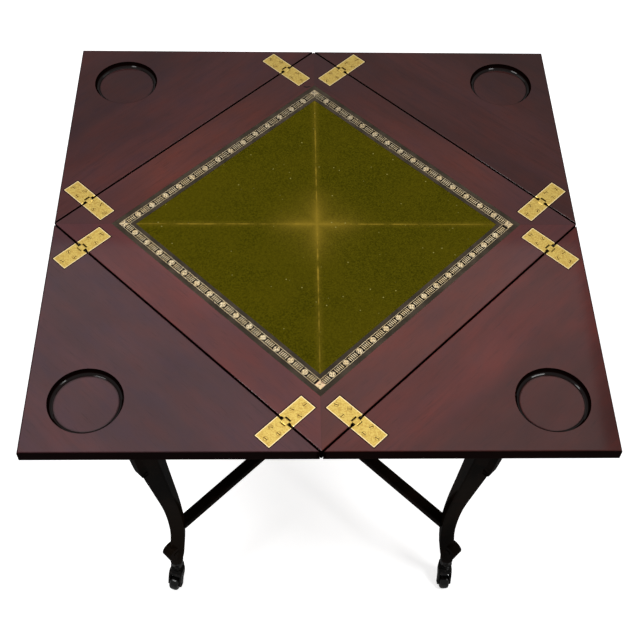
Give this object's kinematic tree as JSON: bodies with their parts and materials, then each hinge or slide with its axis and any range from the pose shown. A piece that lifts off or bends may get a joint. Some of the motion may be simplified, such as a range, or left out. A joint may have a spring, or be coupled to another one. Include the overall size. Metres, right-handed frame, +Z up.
{
  "type": "envelope card table",
  "caption": "Square card table on cabriole legs with castors; its top turns on a pivot and four triangular flaps fold out to a baize playing surface with counter wells.",
  "frame": {"origin": "on the floor under the pivot of the top, at the centre of the object's base", "axes": "+Z up, -Y towards the front with the drawer, +X to the right"},
  "size_m": [0.7948, 0.7948, 0.73],
  "materials": {
    "mahogany": "polished",
    "blackened_wood": "polished",
    "pale_wood": "plain",
    "wheel_wood": "satin",
    "brass": "polished",
    "dark_iron": "satin",
    "tooled_leather": "gilt tooled",
    "baize": "felted"
  },
  "bodies": {
    "base": {"leg_back_right": "blackened_wood", "leg_back_left": "blackened_wood", "leg_front_left": "blackened_wood", "leg_front_right": "blackened_wood", "frieze_back": "mahogany", "frieze_left": "mahogany", "frieze_right": "mahogany", "drawer_rail_upper": "mahogany", "drawer_rail_lower": "mahogany", "pivot_bearer": "pale_wood", "stop_peg": "dark_iron", "stretcher_under": "blackened_wood", "stretcher_over": "blackened_wood", "drawer_runners": "pale_wood", "castor_socket_back_right": "dark_iron", "castor_socket_back_left": "dark_iron", "castor_socket_front_left": "dark_iron", "castor_socket_front_right": "dark_iron"},
    "top": {"panel_core": "mahogany", "panel_border_front_left": "mahogany", "panel_border_front_right": "mahogany", "panel_border_back_right": "mahogany", "panel_border_back_left": "mahogany", "leather_band": "tooled_leather", "baize": "baize", "pivot_plate": "dark_iron", "pivot_nut": "dark_iron", "panel_hinge_leaves": "brass", "panel_hinge_pins": "brass"},
    "links_front_left": {"hinge_links_front_left": "brass"},
    "flap_front_left": {"flap_board_front_left": "mahogany", "flap_hinge_leaves_front_left": "brass", "flap_hinge_pins_front_left": "brass"},
    "links_front_right": {"hinge_links_front_right": "brass"},
    "flap_front_right": {"flap_board_front_right": "mahogany", "flap_hinge_leaves_front_right": "brass", "flap_hinge_pins_front_right": "brass"},
    "links_back_right": {"hinge_links_back_right": "brass"},
    "flap_back_right": {"flap_board_back_right": "mahogany", "flap_hinge_leaves_back_right": "brass", "flap_hinge_pins_back_right": "brass"},
    "links_back_left": {"hinge_links_back_left": "brass"},
    "flap_back_left": {"flap_board_back_left": "mahogany", "flap_hinge_leaves_back_left": "brass", "flap_hinge_pins_back_left": "brass"},
    "drawer": {"drawer_front": "mahogany", "drawer_side_left": "pale_wood", "drawer_side_right": "pale_wood", "drawer_back": "pale_wood", "drawer_bottom": "pale_wood", "drawer_knobs": "brass"},
    "fork_back_right": {"castor_fork_back_right": "dark_iron"},
    "wheel_back_right": {"castor_wheel_back_right": "wheel_wood"},
    "fork_back_left": {"castor_fork_back_left": "dark_iron"},
    "wheel_back_left": {"castor_wheel_back_left": "wheel_wood"},
    "fork_front_left": {"castor_fork_front_left": "dark_iron"},
    "wheel_front_left": {"castor_wheel_front_left": "wheel_wood"},
    "fork_front_right": {"castor_fork_front_right": "dark_iron"},
    "wheel_front_right": {"castor_wheel_front_right": "wheel_wood"}
  },
  "joints": [
    {"name": "top_swivel", "type": "hinge", "parent": "base", "child": "top", "pos_m": [0, 0, 0.7067], "axis": [0, 0, 1], "range_deg": [0, 45]},
    {"name": "link_fold_front_left", "type": "hinge", "parent": "top", "child": "links_front_left", "pos_m": [-0.19689, -0.19689, 0.72735], "axis": [-0.7071, 0.7071, 0], "range_deg": [0, 90]},
    {"name": "flap_fold_front_left", "type": "hinge", "parent": "links_front_left", "child": "flap_front_left", "pos_m": [-0.20085, -0.20085, 0.72735], "axis": [-0.7071, 0.7071, 0], "range_deg": [0, 90]},
    {"name": "link_fold_front_right", "type": "hinge", "parent": "top", "child": "links_front_right", "pos_m": [0.19689, -0.19689, 0.72735], "axis": [-0.7071, -0.7071, 0], "range_deg": [0, 90]},
    {"name": "flap_fold_front_right", "type": "hinge", "parent": "links_front_right", "child": "flap_front_right", "pos_m": [0.20085, -0.20085, 0.72735], "axis": [-0.7071, -0.7071, 0], "range_deg": [0, 90]},
    {"name": "link_fold_back_right", "type": "hinge", "parent": "top", "child": "links_back_right", "pos_m": [0.19689, 0.19689, 0.72735], "axis": [0.7071, -0.7071, 0], "range_deg": [0, 90]},
    {"name": "flap_fold_back_right", "type": "hinge", "parent": "links_back_right", "child": "flap_back_right", "pos_m": [0.20085, 0.20085, 0.72735], "axis": [0.7071, -0.7071, 0], "range_deg": [0, 90]},
    {"name": "link_fold_back_left", "type": "hinge", "parent": "top", "child": "links_back_left", "pos_m": [-0.19689, 0.19689, 0.72735], "axis": [0.7071, 0.7071, 0], "range_deg": [0, 90]},
    {"name": "flap_fold_back_left", "type": "hinge", "parent": "links_back_left", "child": "flap_back_left", "pos_m": [-0.20085, 0.20085, 0.72735], "axis": [0.7071, 0.7071, 0], "range_deg": [0, 90]},
    {"name": "drawer_slide", "type": "slide", "parent": "base", "child": "drawer", "axis": [0, -1, 0], "range_m": [0, 0.3]},
    {"name": "castor_swivel_back_right", "type": "hinge", "parent": "base", "child": "fork_back_right", "pos_m": [0.2505, 0.2505, 0.045], "axis": [0, 0, 1], "continuous": true},
    {"name": "wheel_roll_back_right", "type": "hinge", "parent": "fork_back_right", "child": "wheel_back_right", "pos_m": [0.2505, 0.2335, 0.0145], "axis": [1, 0, 0], "continuous": true},
    {"name": "castor_swivel_back_left", "type": "hinge", "parent": "base", "child": "fork_back_left", "pos_m": [-0.2505, 0.2505, 0.045], "axis": [0, 0, 1], "continuous": true},
    {"name": "wheel_roll_back_left", "type": "hinge", "parent": "fork_back_left", "child": "wheel_back_left", "pos_m": [-0.2505, 0.2335, 0.0145], "axis": [1, 0, 0], "continuous": true},
    {"name": "castor_swivel_front_left", "type": "hinge", "parent": "base", "child": "fork_front_left", "pos_m": [-0.2505, -0.2505, 0.045], "axis": [0, 0, 1], "continuous": true},
    {"name": "wheel_roll_front_left", "type": "hinge", "parent": "fork_front_left", "child": "wheel_front_left", "pos_m": [-0.25631, -0.26648, 0.0145], "axis": [0.9397, -0.342, 0], "continuous": true},
    {"name": "castor_swivel_front_right", "type": "hinge", "parent": "base", "child": "fork_front_right", "pos_m": [0.2505, -0.2505, 0.045], "axis": [0, 0, 1], "continuous": true},
    {"name": "wheel_roll_front_right", "type": "hinge", "parent": "fork_front_right", "child": "wheel_front_right", "pos_m": [0.2505, -0.2675, 0.0145], "axis": [1, 0, 0], "continuous": true}
  ]
}
